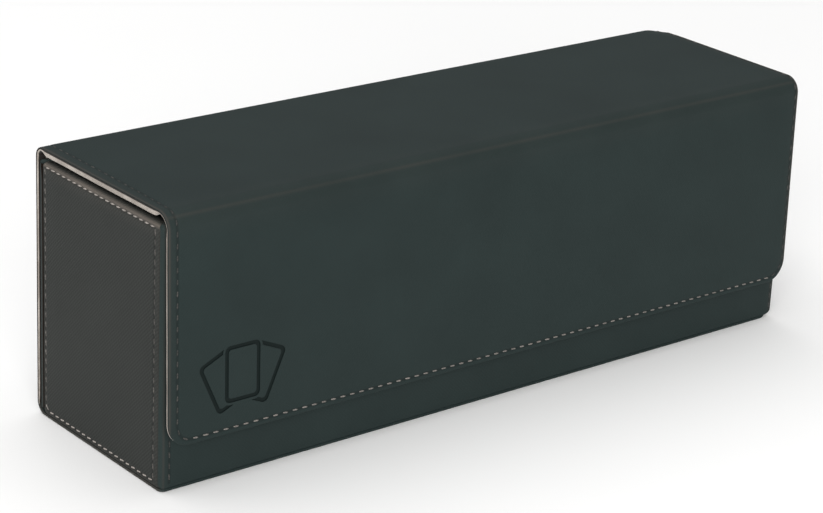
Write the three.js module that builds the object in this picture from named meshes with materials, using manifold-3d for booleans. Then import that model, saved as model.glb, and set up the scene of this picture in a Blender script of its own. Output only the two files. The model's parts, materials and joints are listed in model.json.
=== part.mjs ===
// A long leather-covered case for a row of upright game cards.
//
// A stiff open-topped box is glued into a wrap-round cover. The cover lies under the box, rises up its
// back, folds forward over the top as the lid, and folds down again as the front flap, which magnets
// hold against the front wall. The two folds are the hinges.
//
// Millimetres. +X runs along the case, the flap faces -Y, +Z is up. The origin is the middle of the
// resting face, under the middle of the closed case.

import * as THREE from 'three';
import Module from 'manifold-3d';
import { mergeVertices } from 'three/addons/utils/BufferGeometryUtils.js';

const wasm = await Module();
wasm.setup();

// ---- Driving dimensions ---------------------------------------------------------------------------

const LENGTH = 305;
const COVER_LENGTH = 304.5;
const DEPTH = 88;
const HEIGHT = 105;

// The cover: leatherette outside, microfibre inside, greyboard between them.
const SKIN = 1.2;
const SEAM = 0.15;
const COVER = 3;
const FRONT_FOLD_RADIUS = 6.5;
const REAR_FOLD_RADIUS = 4;
const HEEL_RADIUS = 5;
const HINGE_GAP = 0.3;
const BACK_LINING = 1.3;
const COVER_BOARD = 1;
const COVER_BOARD_MARGIN = 5;

// The flap stands a little proud of the front wall at its lower edge.
const FLAP_STAND_OFF = 1.8;
const FLAP_BOTTOM = 18.6;
const FLAP_CORNER_RADIUS = 9;

// The box.
const FRONT_WALL_SETBACK = 3.2;
const RIM_HEIGHT = 100.3;
const RIM_RADIUS = 2;
const CORNER_RADIUS = 1.4;
const BOARD = 2;
const LINING = 0.9;
const PANEL = 1.6;
const PANEL_FOOT = 1.5;
const PANEL_HEEL_RADIUS = 3;
const GLUE = 0.05;
const FRONT_SKIN_RETURN = 1.75;
const BACK_SKIN_RETURN = 2.4;

// Magnets and dividers.
const MAGNET_RADIUS = 5;
const MAGNET_POCKET_CLEARANCE = 0.3;
const WALL_MAGNET_THICKNESS = 1.5;
const FLAP_MAGNET_THICKNESS = 0.9;
const MAGNET_HEIGHT = 33;
const MAGNET_SPACING = 84;
const MAGNET_COUNT = 4;
const DIVIDER_THICKNESS = 1.6;
const DIVIDER_HEIGHT = 88;
const DIVIDER_CLEARANCE = 0.6;
const DIVIDER_CORNER_RADIUS = 6;
const DIVIDER_X = 49.3;

const ARC_STEPS = 6;

// ---- Places worked out from them --------------------------------------------------------------------

const backFace = DEPTH / 2;
const flapFace = -DEPTH / 2 + FLAP_STAND_OFF;
const frontFace = flapFace + FRONT_WALL_SETBACK;
const coverLining = SKIN + SEAM;

const frontFold = {
  y: flapFace + FRONT_FOLD_RADIUS,
  z: HEIGHT - FRONT_FOLD_RADIUS,
  radius: FRONT_FOLD_RADIUS,
};
const rearFold = {
  y: backFace - REAR_FOLD_RADIUS,
  z: HEIGHT - REAR_FOLD_RADIUS,
  radius: REAR_FOLD_RADIUS,
};
const heel = { y: backFace - HEEL_RADIUS, z: HEEL_RADIUS, radius: HEEL_RADIUS };

// The flap turns about the outer surface at the middle of the front fold.
const flapHinge = {
  y: frontFold.y - frontFold.radius * Math.SQRT1_2,
  z: frontFold.z + frontFold.radius * Math.SQRT1_2,
};
const flapLean = Math.asin(FLAP_STAND_OFF / (flapHinge.z - FLAP_BOTTOM));

// Layers of the box walls, from the outside in.
const backLiningOuter = backFace - SKIN - GLUE;
const backSkinOuter = backLiningOuter - BACK_LINING - GLUE;
const backBoardOuter = backSkinOuter - SKIN - GLUE;
const backWallLiningOuter = backBoardOuter - BOARD - GLUE;
const backWallLiningInner = backWallLiningOuter - LINING;
const frontBoardOuter = frontFace + SKIN + GLUE;
const frontLiningOuter = frontBoardOuter + BOARD + GLUE;
const frontLiningInner = frontLiningOuter + LINING;
const endFace = LENGTH / 2;
const endBoardOuter = endFace - PANEL - GLUE;
const endLiningOuter = endBoardOuter - BOARD - GLUE;
const endLiningInner = endLiningOuter - LINING;
const panelFront = frontFace + FRONT_SKIN_RETURN + GLUE;
const panelBack = backSkinOuter - BACK_SKIN_RETURN - GLUE;

const boxBottom = SKIN + GLUE;
const wallFoot = boxBottom + BOARD + GLUE;
const floorTop = wallFoot + LINING;
const turnedEdge = RIM_HEIGHT - SKIN;
const wallTop = turnedEdge - GLUE;

// ---- Solids -----------------------------------------------------------------------------------------

function toSolid(geometry) {
  const bare = geometry.clone();
  bare.deleteAttribute('normal');
  bare.deleteAttribute('uv');
  const merged = mergeVertices(bare, 1e-4);
  return new wasm.Manifold(new wasm.Mesh({
    numProp: 3,
    vertProperties: merged.attributes.position.array,
    triVerts: new Uint32Array(merged.index.array),
  }));
}

function toGeometry(solid) {
  const mesh = solid.getMesh();
  const geometry = new THREE.BufferGeometry();
  geometry.setAttribute('position', new THREE.BufferAttribute(mesh.vertProperties, 3));
  geometry.setIndex(new THREE.BufferAttribute(mesh.triVerts, 1));
  geometry.computeVertexNormals();
  return geometry;
}

// A block between two corners.
function block(low, high) {
  const size = high.map((value, axis) => value - low[axis]);
  const middle = high.map((value, axis) => (value + low[axis]) / 2);
  return toSolid(new THREE.BoxGeometry(...size).translate(...middle));
}

// A section drawn in (y, z), run along X and centred on x = 0.
function alongX(outline, length) {
  const section = new THREE.Shape(outline);
  const geometry = new THREE.ExtrudeGeometry(section, { depth: length, bevelEnabled: false });
  const turn = new THREE.Matrix4().set(0, 0, 1, -length / 2, 1, 0, 0, 0, 0, 1, 0, 0, 0, 0, 0, 1);
  return toSolid(geometry.applyMatrix4(turn));
}

// A plate drawn in (x, z), running from y = from to y = to.
function alongY(shape, from, to) {
  const geometry = new THREE.ExtrudeGeometry(shape, {
    depth: to - from,
    bevelEnabled: false,
    curveSegments: ARC_STEPS,
  });
  return toSolid(geometry.rotateX(Math.PI / 2).translate(0, to, 0));
}

// A plate drawn in (x, y), running from z = from to z = to.
function alongZ(shape, from, to) {
  const geometry = new THREE.ExtrudeGeometry(shape, {
    depth: to - from,
    bevelEnabled: false,
    curveSegments: ARC_STEPS,
  });
  return toSolid(geometry.translate(0, 0, from));
}

// A disc with its axis along Y, its outer face at y = from.
function disc(radius, x, z, from, thickness) {
  const geometry = new THREE.CylinderGeometry(radius, radius, thickness, 24);
  return toSolid(geometry.translate(x, from + thickness / 2, z));
}

// A rectangle whose corners have their own radii, in the order low-low, high-low, high-high, low-high.
function roundedRectangle(left, bottom, right, top, radii) {
  const [a, b, c, d] = radii;
  const shape = new THREE.Shape();
  shape.moveTo(left + a, bottom);
  shape.lineTo(right - b, bottom);
  if (b > 0) shape.absarc(right - b, bottom + b, b, -Math.PI / 2, 0);
  shape.lineTo(right, top - c);
  if (c > 0) shape.absarc(right - c, top - c, c, 0, Math.PI / 2);
  shape.lineTo(left + d, top);
  if (d > 0) shape.absarc(left + d, top - d, d, Math.PI / 2, Math.PI);
  shape.lineTo(left, bottom + a);
  if (a > 0) shape.absarc(left + a, bottom + a, a, Math.PI, Math.PI * 1.5);
  return shape;
}

// Points on a fold in (y, z), at a depth below its outer surface. Angles in degrees from +Y.
function foldPoints(fold, depth, from, to) {
  return Array.from({ length: ARC_STEPS + 1 }, (_, step) => {
    const angle = THREE.MathUtils.degToRad(from + (to - from) * step / ARC_STEPS);
    const radius = fold.radius - depth;
    return new THREE.Vector2(fold.y + radius * Math.cos(angle), fold.z + radius * Math.sin(angle));
  });
}

// Half the hinge gap, as an angle on a fold.
function gapAngle(fold) {
  return THREE.MathUtils.radToDeg(HINGE_GAP / 2 / fold.radius);
}

// A sheet between two depths below the cover's outer surface.
function sheet(line, outerDepth, innerDepth) {
  return [...line(outerDepth), ...line(innerDepth).reverse()];
}

// The cover's three panels as lines in (y, z) at a depth below the outer surface. Each runs out to the
// middle of the fold it shares with the next.
function lidLine(depth) {
  return [
    ...foldPoints(rearFold, depth, 45 + gapAngle(rearFold), 90),
    ...foldPoints(frontFold, depth, 90, 135 - gapAngle(frontFold)),
  ];
}

function flapLine(depth) {
  return [
    ...foldPoints(frontFold, depth, 135 + gapAngle(frontFold), 180),
    new THREE.Vector2(flapFace + depth, FLAP_BOTTOM),
  ];
}

function backLine(depth) {
  return [
    ...foldPoints(rearFold, depth, 45 - gapAngle(rearFold), 0),
    ...foldPoints(heel, depth, 0, -90),
    new THREE.Vector2(frontFace, depth),
  ];
}

// ---- Materials --------------------------------------------------------------------------------------

function leatherette(colour = 0x323b3a) {
  return new THREE.MeshStandardMaterial({ color: colour, roughness: 0.55, metalness: 0 });
}

function microfibre(colour = 0xaaa49b) {
  return new THREE.MeshStandardMaterial({ color: colour, roughness: 0.95, metalness: 0 });
}

function greyboard() {
  return new THREE.MeshStandardMaterial({ color: 0x8f8676, roughness: 0.9, metalness: 0 });
}

function magnetSteel() {
  return new THREE.MeshStandardMaterial({ color: 0xb4b6ba, roughness: 0.3, metalness: 1 });
}

function dividerPlastic() {
  return new THREE.MeshStandardMaterial({ color: 0x2b2e2f, roughness: 0.5, metalness: 0 });
}

function addPiece(group, name, solid, material) {
  const mesh = new THREE.Mesh(toGeometry(solid), material);
  mesh.name = name;
  group.add(mesh);
}

// ---- The lid ----------------------------------------------------------------------------------------

const boardPocket = COVER_BOARD + 2 * GLUE;
const boardHalfLength = COVER_LENGTH / 2 - COVER_BOARD_MARGIN;

function buildLid() {
  const lid = new THREE.Group();
  const boardTop = HEIGHT - coverLining - GLUE;
  const pocketBottom = HEIGHT - coverLining - boardPocket;
  const pocket = block(
    [-boardHalfLength - GLUE, frontFold.y - GLUE, pocketBottom],
    [boardHalfLength + GLUE, rearFold.y + GLUE, HEIGHT],
  );
  const board = block(
    [-boardHalfLength, frontFold.y, boardTop - COVER_BOARD],
    [boardHalfLength, rearFold.y, boardTop],
  );
  addPiece(lid, 'lid_skin', alongX(sheet(lidLine, 0, SKIN), COVER_LENGTH), leatherette());
  addPiece(
    lid,
    'lid_lining',
    alongX(sheet(lidLine, coverLining, COVER), COVER_LENGTH).subtract(pocket),
    microfibre(),
  );
  addPiece(lid, 'lid_board', board, greyboard());
  return lid;
}

// ---- The flap ---------------------------------------------------------------------------------------

function magnetX(index) {
  return (index - (MAGNET_COUNT - 1) / 2) * MAGNET_SPACING;
}

function buildFlap() {
  const flap = new THREE.Group();
  const contents = new THREE.Group();
  contents.position.set(0, -flapHinge.y, -flapHinge.z);
  flap.position.set(0, flapHinge.y, flapHinge.z);
  flap.rotation.x = -flapLean;
  flap.add(contents);

  const half = COVER_LENGTH / 2;
  const outline = alongY(
    roundedRectangle(-half, FLAP_BOTTOM, half, HEIGHT, [FLAP_CORNER_RADIUS, FLAP_CORNER_RADIUS, 0, 0]),
    flapFace - 1,
    frontFold.y + 1,
  );
  const boardOuter = flapFace + coverLining + GLUE;
  const boardBottom = FLAP_BOTTOM + COVER_BOARD_MARGIN;
  const boardRadius = FLAP_CORNER_RADIUS - COVER_BOARD_MARGIN;
  const pocketShape = roundedRectangle(
    -boardHalfLength - GLUE,
    boardBottom - GLUE,
    boardHalfLength + GLUE,
    frontFold.z + GLUE,
    [boardRadius, boardRadius, 0, 0],
  );
  const boardShape = roundedRectangle(
    -boardHalfLength,
    boardBottom,
    boardHalfLength,
    frontFold.z,
    [boardRadius, boardRadius, 0, 0],
  );
  const pocket = alongY(pocketShape, flapFace, flapFace + coverLining + boardPocket);
  let board = alongY(boardShape, boardOuter, boardOuter + COVER_BOARD);
  for (let index = 0; index < MAGNET_COUNT; index += 1) {
    const hole = disc(
      MAGNET_RADIUS + MAGNET_POCKET_CLEARANCE,
      magnetX(index),
      MAGNET_HEIGHT,
      boardOuter - 1,
      COVER_BOARD + 2,
    );
    const magnet = disc(
      MAGNET_RADIUS,
      magnetX(index),
      MAGNET_HEIGHT,
      boardOuter + GLUE,
      FLAP_MAGNET_THICKNESS,
    );
    board = board.subtract(hole);
    addPiece(contents, `flap_magnet_${index + 1}`, magnet, magnetSteel());
  }

  const skin = alongX(sheet(flapLine, 0, SKIN), COVER_LENGTH).intersect(outline);
  const lining = alongX(sheet(flapLine, coverLining, COVER), COVER_LENGTH)
    .intersect(outline)
    .subtract(pocket);
  addPiece(contents, 'flap_skin', skin, leatherette());
  addPiece(contents, 'flap_lining', lining, microfibre());
  addPiece(contents, 'flap_board', board, greyboard());
  return flap;
}

// ---- The back and bottom of the cover ----------------------------------------------------------------

function buildBackCover() {
  const cover = new THREE.Group();
  const halfCover = COVER_LENGTH / 2;
  const lining = block(
    [-halfCover, backLiningOuter - BACK_LINING, heel.z],
    [halfCover, backLiningOuter, rearFold.z],
  );
  addPiece(cover, 'cover_back_skin', alongX(sheet(backLine, 0, SKIN), COVER_LENGTH), leatherette());
  addPiece(cover, 'cover_back_lining', lining, microfibre());
  return cover;
}

// ---- The box ----------------------------------------------------------------------------------------

const boxCorners = alongZ(
  roundedRectangle(-endFace, frontFace, endFace, backFace, [CORNER_RADIUS, CORNER_RADIUS, 0, 0]),
  0,
  HEIGHT,
);

// Two ranges along X, one at each end of the box, for a band between two distances from the middle.
function endBands(inner, outer) {
  return [[-outer, -inner], [inner, outer]];
}

// A wall's leatherette: an outer face, an edge turned over the rim, and a return round each corner.
function wallSkin(outerY, innerY, rimY, returnY) {
  const between = (a, b) => [Math.min(a, b), Math.max(a, b)];
  const [faceLow, faceHigh] = between(outerY, innerY);
  const [rimLow, rimHigh] = between(outerY, rimY);
  const [returnLow, returnHigh] = between(outerY, returnY);
  const foot = outerY < 0 ? boxBottom : wallFoot;
  let skin = block([-endFace, faceLow, foot], [endFace, faceHigh, RIM_HEIGHT])
    .add(block([-endBoardOuter, rimLow, turnedEdge], [endBoardOuter, rimHigh, RIM_HEIGHT]));
  for (const [left, right] of endBands(endBoardOuter, endFace)) {
    skin = skin.add(block([left, returnLow, foot], [right, returnHigh, RIM_HEIGHT]));
  }
  return skin;
}

function buildFrontWall() {
  const wall = new THREE.Group();
  const roundedRim = alongX(
    roundedRectangle(frontFace, 0, backFace, RIM_HEIGHT, [0, 0, 0, RIM_RADIUS]).getPoints(ARC_STEPS),
    LENGTH,
  );
  const skin = wallSkin(frontFace, frontFace + SKIN, frontLiningInner, frontFace + FRONT_SKIN_RETURN)
    .intersect(roundedRim)
    .intersect(boxCorners);
  const lining = block(
    [-endLiningOuter, frontLiningOuter, floorTop + GLUE],
    [endLiningOuter, frontLiningInner, wallTop],
  );
  let board = block(
    [-endBoardOuter, frontBoardOuter, wallFoot],
    [endBoardOuter, frontBoardOuter + BOARD, wallTop],
  );
  for (let index = 0; index < MAGNET_COUNT; index += 1) {
    const pocket = disc(
      MAGNET_RADIUS + MAGNET_POCKET_CLEARANCE,
      magnetX(index),
      MAGNET_HEIGHT,
      frontFace,
      frontBoardOuter - frontFace + WALL_MAGNET_THICKNESS + 2 * GLUE,
    );
    const magnet = disc(
      MAGNET_RADIUS,
      magnetX(index),
      MAGNET_HEIGHT,
      frontBoardOuter + GLUE,
      WALL_MAGNET_THICKNESS,
    );
    board = board.subtract(pocket);
    addPiece(wall, `wall_magnet_${index + 1}`, magnet, magnetSteel());
  }
  addPiece(wall, 'front_wall_skin', skin, leatherette());
  addPiece(wall, 'front_wall_board', board, greyboard());
  addPiece(wall, 'front_wall_lining', lining, microfibre());
  return wall;
}

function buildBackWall() {
  const wall = new THREE.Group();
  const skin = wallSkin(
    backSkinOuter,
    backSkinOuter - SKIN,
    backWallLiningInner,
    backSkinOuter - BACK_SKIN_RETURN,
  );
  const board = block(
    [-endBoardOuter, backBoardOuter - BOARD, wallFoot],
    [endBoardOuter, backBoardOuter, wallTop],
  );
  const lining = block(
    [-endLiningOuter, backWallLiningInner, floorTop + GLUE],
    [endLiningOuter, backWallLiningOuter, wallTop],
  );
  addPiece(wall, 'back_wall_skin', skin, leatherette());
  addPiece(wall, 'back_wall_board', board, greyboard());
  addPiece(wall, 'back_wall_lining', lining, microfibre());
  return wall;
}

function buildEnds() {
  const ends = new THREE.Group();
  const face = alongX(
    roundedRectangle(panelFront, PANEL_FOOT, panelBack, RIM_HEIGHT, [0, PANEL_HEEL_RADIUS, 0, 0])
      .getPoints(ARC_STEPS),
    LENGTH,
  );
  const roundedRim = alongY(
    roundedRectangle(-endFace, 0, endFace, RIM_HEIGHT, [0, 0, RIM_RADIUS, RIM_RADIUS]),
    frontFace,
    backFace,
  );
  const sides = { left: 0, right: 1 };
  for (const [side, band] of Object.entries(sides)) {
    const [faceLeft, faceRight] = endBands(endBoardOuter + GLUE, endFace)[band];
    const [rimLeft, rimRight] = endBands(endLiningInner, endFace)[band];
    const [boardLeft, boardRight] = endBands(endBoardOuter - BOARD, endBoardOuter)[band];
    const [liningLeft, liningRight] = endBands(endLiningInner, endLiningOuter)[band];
    const outerLeg = face.intersect(block([faceLeft, frontFace, 0], [faceRight, backFace, HEIGHT]));
    const rimLeg = block(
      [rimLeft, frontLiningInner + GLUE, turnedEdge],
      [rimRight, backWallLiningInner - GLUE, RIM_HEIGHT],
    );
    const board = block(
      [boardLeft, frontLiningOuter, wallFoot],
      [boardRight, backWallLiningOuter, wallTop],
    );
    const lining = block(
      [liningLeft, frontLiningInner + GLUE, floorTop + GLUE],
      [liningRight, backWallLiningInner - GLUE, wallTop],
    );
    addPiece(ends, `end_panel_${side}`, outerLeg.add(rimLeg).intersect(roundedRim), leatherette(0x40423f));
    addPiece(ends, `end_board_${side}`, board, greyboard());
    addPiece(ends, `end_lining_${side}`, lining, microfibre());
  }
  return ends;
}

function buildFloor() {
  const floor = new THREE.Group();
  const board = block(
    [-endBoardOuter, frontBoardOuter, boxBottom],
    [endBoardOuter, heel.y, boxBottom + BOARD],
  );
  const lining = block(
    [-endLiningOuter, frontLiningOuter, wallFoot],
    [endLiningOuter, backWallLiningOuter, floorTop],
  );
  addPiece(floor, 'floor_board', board, greyboard());
  addPiece(floor, 'floor_lining', lining, microfibre());
  return floor;
}

// ---- The dividers -----------------------------------------------------------------------------------

// A loose card-sized plate that stands across the box and slides along it.
function buildDividers() {
  const dividers = new THREE.Group();
  const plate = alongX(
    roundedRectangle(
      frontLiningInner + DIVIDER_CLEARANCE,
      floorTop + DIVIDER_CLEARANCE,
      backWallLiningInner - DIVIDER_CLEARANCE,
      floorTop + DIVIDER_HEIGHT,
      [1, 1, DIVIDER_CORNER_RADIUS, DIVIDER_CORNER_RADIUS],
    ).getPoints(ARC_STEPS),
    DIVIDER_THICKNESS,
  );
  const places = { left: -DIVIDER_X, right: DIVIDER_X };
  for (const [side, x] of Object.entries(places)) {
    addPiece(dividers, `divider_${side}`, plate.translate(x, 0, 0), dividerPlastic());
  }
  return dividers;
}

// ---- The case ---------------------------------------------------------------------------------------

const group = new THREE.Group();
group.add(buildBackCover());
group.add(buildFrontWall());
group.add(buildBackWall());
group.add(buildEnds());
group.add(buildFloor());
group.add(buildDividers());
group.add(buildLid());
group.add(buildFlap());

export default group;
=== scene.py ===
import json
import math

import bmesh
import bpy
import numpy as np
from mathutils import Matrix, Vector, noise


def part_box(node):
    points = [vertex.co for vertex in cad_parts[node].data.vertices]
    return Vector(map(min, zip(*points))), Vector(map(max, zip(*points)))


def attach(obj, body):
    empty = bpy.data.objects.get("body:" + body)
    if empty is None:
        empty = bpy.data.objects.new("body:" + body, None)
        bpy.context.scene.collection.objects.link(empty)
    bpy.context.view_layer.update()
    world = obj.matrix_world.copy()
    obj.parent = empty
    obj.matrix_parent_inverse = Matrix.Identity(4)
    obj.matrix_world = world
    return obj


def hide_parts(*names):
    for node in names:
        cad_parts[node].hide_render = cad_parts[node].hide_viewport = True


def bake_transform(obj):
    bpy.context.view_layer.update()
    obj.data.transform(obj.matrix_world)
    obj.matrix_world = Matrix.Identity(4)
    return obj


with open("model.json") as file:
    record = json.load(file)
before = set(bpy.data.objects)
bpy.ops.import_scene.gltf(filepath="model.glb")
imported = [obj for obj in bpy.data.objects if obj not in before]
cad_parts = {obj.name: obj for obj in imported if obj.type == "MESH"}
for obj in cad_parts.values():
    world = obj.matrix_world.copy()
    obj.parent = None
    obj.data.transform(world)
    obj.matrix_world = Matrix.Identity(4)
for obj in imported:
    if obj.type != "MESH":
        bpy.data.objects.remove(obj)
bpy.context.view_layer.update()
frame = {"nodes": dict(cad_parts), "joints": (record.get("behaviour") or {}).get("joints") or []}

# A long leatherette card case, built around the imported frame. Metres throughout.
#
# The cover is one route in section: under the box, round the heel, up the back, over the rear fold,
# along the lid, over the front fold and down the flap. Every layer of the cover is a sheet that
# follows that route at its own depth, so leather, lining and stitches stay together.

MM = 0.001

# ---- Places, from the frame -------------------------------------------------------------------------

_, lid_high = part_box("lid_skin")
_, back_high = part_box("cover_back_skin")
flap_low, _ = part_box("flap_skin")
front_low, front_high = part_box("front_wall_skin")
rear_low, rear_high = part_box("back_wall_skin")
panel_low, panel_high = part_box("end_panel_right")
_, front_lining_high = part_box("front_wall_lining")
rear_lining_low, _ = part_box("back_wall_lining")
end_lining_low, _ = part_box("end_lining_right")

JOINTS = {joint["name"]: joint for joint in frame["joints"]}
FLAP_HINGE = Vector(JOINTS["flap_hinge"]["pos_m"])

HALF = lid_high.x
TOP = lid_high.z
BACK = back_high.y
FRONT = front_low.y
RIM = front_high.z
END = front_high.x

# ---- Sizes of the layers ----------------------------------------------------------------------------

# LEATHER is the skin where it is pared thin at an edge, and COVER the skin, board and lining together.
LEATHER = 0.5 * MM
SKIN = 1.2 * MM
SEAM = 0.06 * MM
COVER = 3.0 * MM
HEEL_RADIUS = 5.0 * MM
REAR_FOLD_RADIUS = 4.0 * MM
FRONT_FOLD_RADIUS = 6.5 * MM
FLAP_CORNER_RADIUS = 9.0 * MM
LEFT_FOOT_RADIUS = 2.5 * MM
RIGHT_FOOT_RADIUS = 6.5 * MM
WALL_LEFT_FOOT_RADIUS = 2.0 * MM
WALL_RIGHT_FOOT_RADIUS = 3.6 * MM
PANEL_HEEL_RADIUS = 3.5 * MM
PANEL_TOE_RADIUS = 3.6 * MM
FLAP_TOP = FLAP_HINGE.y - FRONT_FOLD_RADIUS * (1 - math.sqrt(0.5))
FLAP_LEAN = math.degrees(math.asin((FLAP_TOP - flap_low.y) / (FLAP_HINGE.z - flap_low.z)))
RIM_RADIUS = 2.0 * MM

COVER_PITCH = 4.3 * MM
PANEL_PITCH = 3.65 * MM
THREAD_WIDTH = 0.62 * MM
THREAD_HEIGHT = 0.42 * MM
GROOVE_WIDTH = 0.6 * MM

# An edge grows from its pressed thickness to the full one between these distances from it.
TAPER = (1.5 * MM, 6.0 * MM)

# ---- Routes: a section made of straight runs and arcs ------------------------------------------------


class Route:
    """A line in a plane, with its outer side on the right of the way it runs."""

    def __init__(self, start, heading):
        self.parts = []
        self.point = np.array(start, float)
        self.heading = math.radians(heading)
        self.length = 0.0
        self.marks = {}

    def mark(self, name):
        self.marks[name] = self.length
        return self

    def run(self, length):
        self.parts.append((self.length, length, self.point, self.heading, 0.0))
        self.point = self.point + length * np.array([math.cos(self.heading), math.sin(self.heading)])
        self.length += length
        return self

    def turn(self, radius, degrees):
        angle = math.radians(degrees)
        self.parts.append((self.length, radius * angle, self.point, self.heading, radius))
        centre = self.point + radius * np.array([-math.sin(self.heading), math.cos(self.heading)])
        self.heading += angle
        self.point = centre + radius * np.array([math.sin(self.heading), -math.cos(self.heading)])
        self.length += radius * angle
        return self

    def at(self, s):
        """Points at distances along the route, and the directions into the sheet there."""
        s = np.asarray(s, float)
        points, inwards = np.zeros((*s.shape, 2)), np.zeros((*s.shape, 2))
        for start, _, point, heading, radius in self.parts:
            here = (s >= start - 1e-9) | (start == 0.0)
            along = s[here] - start
            angle = heading + (along / radius if radius else 0 * along)
            turned = np.stack([-np.sin(angle), np.cos(angle)], axis=-1)
            inward = np.array([-math.sin(heading), math.cos(heading)])
            if radius:
                points[here] = point + radius * (inward - turned)
            else:
                points[here] = point + along[:, None] * np.array([math.cos(heading), math.sin(heading)])
            inwards[here] = turned
        return points, inwards

    def stations(self, start, end, spacing, arc_steps=14):
        """Distances along the route from start to end, close together on the arcs."""
        found = [start, end]
        for first, length, _, _, radius in self.parts:
            steps = arc_steps if radius else max(1, math.ceil(length / spacing))
            found += [first + length * i / steps for i in range(steps + 1)]
        return sorted(s for s in found if start <= s <= end)


def cover_route():
    fold_y = FLAP_HINGE.y + FRONT_FOLD_RADIUS * math.sqrt(0.5)
    route = Route((FRONT, 0.0), 0.0)
    route.run(BACK - HEEL_RADIUS - FRONT).mark("heel").turn(HEEL_RADIUS, 90).mark("back")
    route.run(TOP - REAR_FOLD_RADIUS - HEEL_RADIUS).mark("rear_fold").turn(REAR_FOLD_RADIUS, 90)
    route.mark("lid").run(BACK - REAR_FOLD_RADIUS - fold_y).mark("front_fold")
    route.turn(FRONT_FOLD_RADIUS, 90 - FLAP_LEAN).mark("flap")
    return route.run((route.point[1] - flap_low.z) / math.cos(math.radians(FLAP_LEAN)))


COVER_LINE = cover_route()
MARKS = COVER_LINE.marks

# Where the rear and the front half of each cover layer meet, in the middle of the lid.
SPLIT = (MARKS["lid"] + MARKS["front_fold"]) / 2

# ---- Sheets -----------------------------------------------------------------------------------------

EDGE_INSETS = MM * np.array(
    [0, 0.04, 0.1, 0.18, 0.28, 0.42, 0.6, 0.85, 1.1, 1.4, 1.7, 2.0, 2.3, 2.65, 3.0, 3.35, 3.65]
    + [3.95, 4.25, 4.55, 4.85, 5.15, 5.5, 6.0, 6.8, 8, 10.5, 14]
)


def spread(low, high, spacing, low_free=True, high_free=True):
    """Stations from low to high, close together near a free edge."""
    start = low + (EDGE_INSETS[-1] if low_free else 0)
    end = high - (EDGE_INSETS[-1] if high_free else 0)
    middle = np.linspace(start, end, max(2, math.ceil((end - start) / spacing)) + 1)
    before = low + EDGE_INSETS[:-1] if low_free else []
    after = high - EDGE_INSETS[-2::-1] if high_free else []
    return np.concatenate([before, middle, after])


def thinned(values, gap=0.02 * MM):
    """Sorted values with near repeats left out, keeping the first and the last."""
    kept = [values[0]]
    for value in values[1:]:
        if value - kept[-1] > gap:
            kept.append(value)
    kept[-1] = values[-1]
    return np.array(kept)


def bullnose(inset, radius_in, radius_deep):
    """How far an elliptical edge falls away at a distance in from the edge."""
    t = np.clip(inset / radius_in, 0, 1)
    return radius_deep * (1 - np.sqrt(1 - (1 - t) ** 2))


def ease(value, start, end):
    t = np.clip((value - start) / (end - start), 0, 1)
    return t * t * (3 - 2 * t)


def ripple(a, b, size, seed):
    """Smooth low waves over a grid, from -1 to 1."""
    wave = np.vectorize(lambda p, q: noise.noise(Vector((p / size, q / size, seed))))
    return wave(a, b)


def round_corner(v, s, v_edge, s_edge, inward, radius):
    """Moves grid points near a square corner so that the edge there is an arc."""
    zone = radius + 5 * MM
    a, b = np.abs(v_edge - v), np.abs(s_edge - s)
    inset = np.minimum(a, b)
    inner = np.clip(radius - inset, 1e-9, None)
    arc = inner * math.pi / 4
    share = (np.maximum(a, b) - inset) / np.maximum(zone - inset, 1e-9)
    along = share * (zone - radius + arc)
    angle = math.pi / 4 - np.minimum(along, arc) / inner
    short = radius - inner * np.cos(angle)
    long = np.where(along < arc, radius - inner * np.sin(angle), radius + along - arc)
    moved = (a < zone) & (b < zone) & (inset < radius)
    new_v = v_edge + inward[0] * np.where(b >= a, short, long)
    new_s = s_edge + inward[1] * np.where(b >= a, long, short)
    return np.where(moved, new_v, v), np.where(moved, new_s, s)


def distance_to(rows, v, s):
    """The distance from each grid point to the nearest of some dense polylines."""
    nearest = np.full(v.shape, 1.0)
    for row in rows:
        for start, end in zip(row, row[1:]):
            (av, as_), (bv, bs) = start[:2], end[:2]
            length = (bv - av) ** 2 + (bs - as_) ** 2
            t = np.clip(((v - av) * (bv - av) + (s - as_) * (bs - as_)) / length, 0, 1)
            nearest = np.minimum(nearest, np.hypot(v - av - t * (bv - av), s - as_ - t * (bs - as_)))
    return nearest


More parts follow.
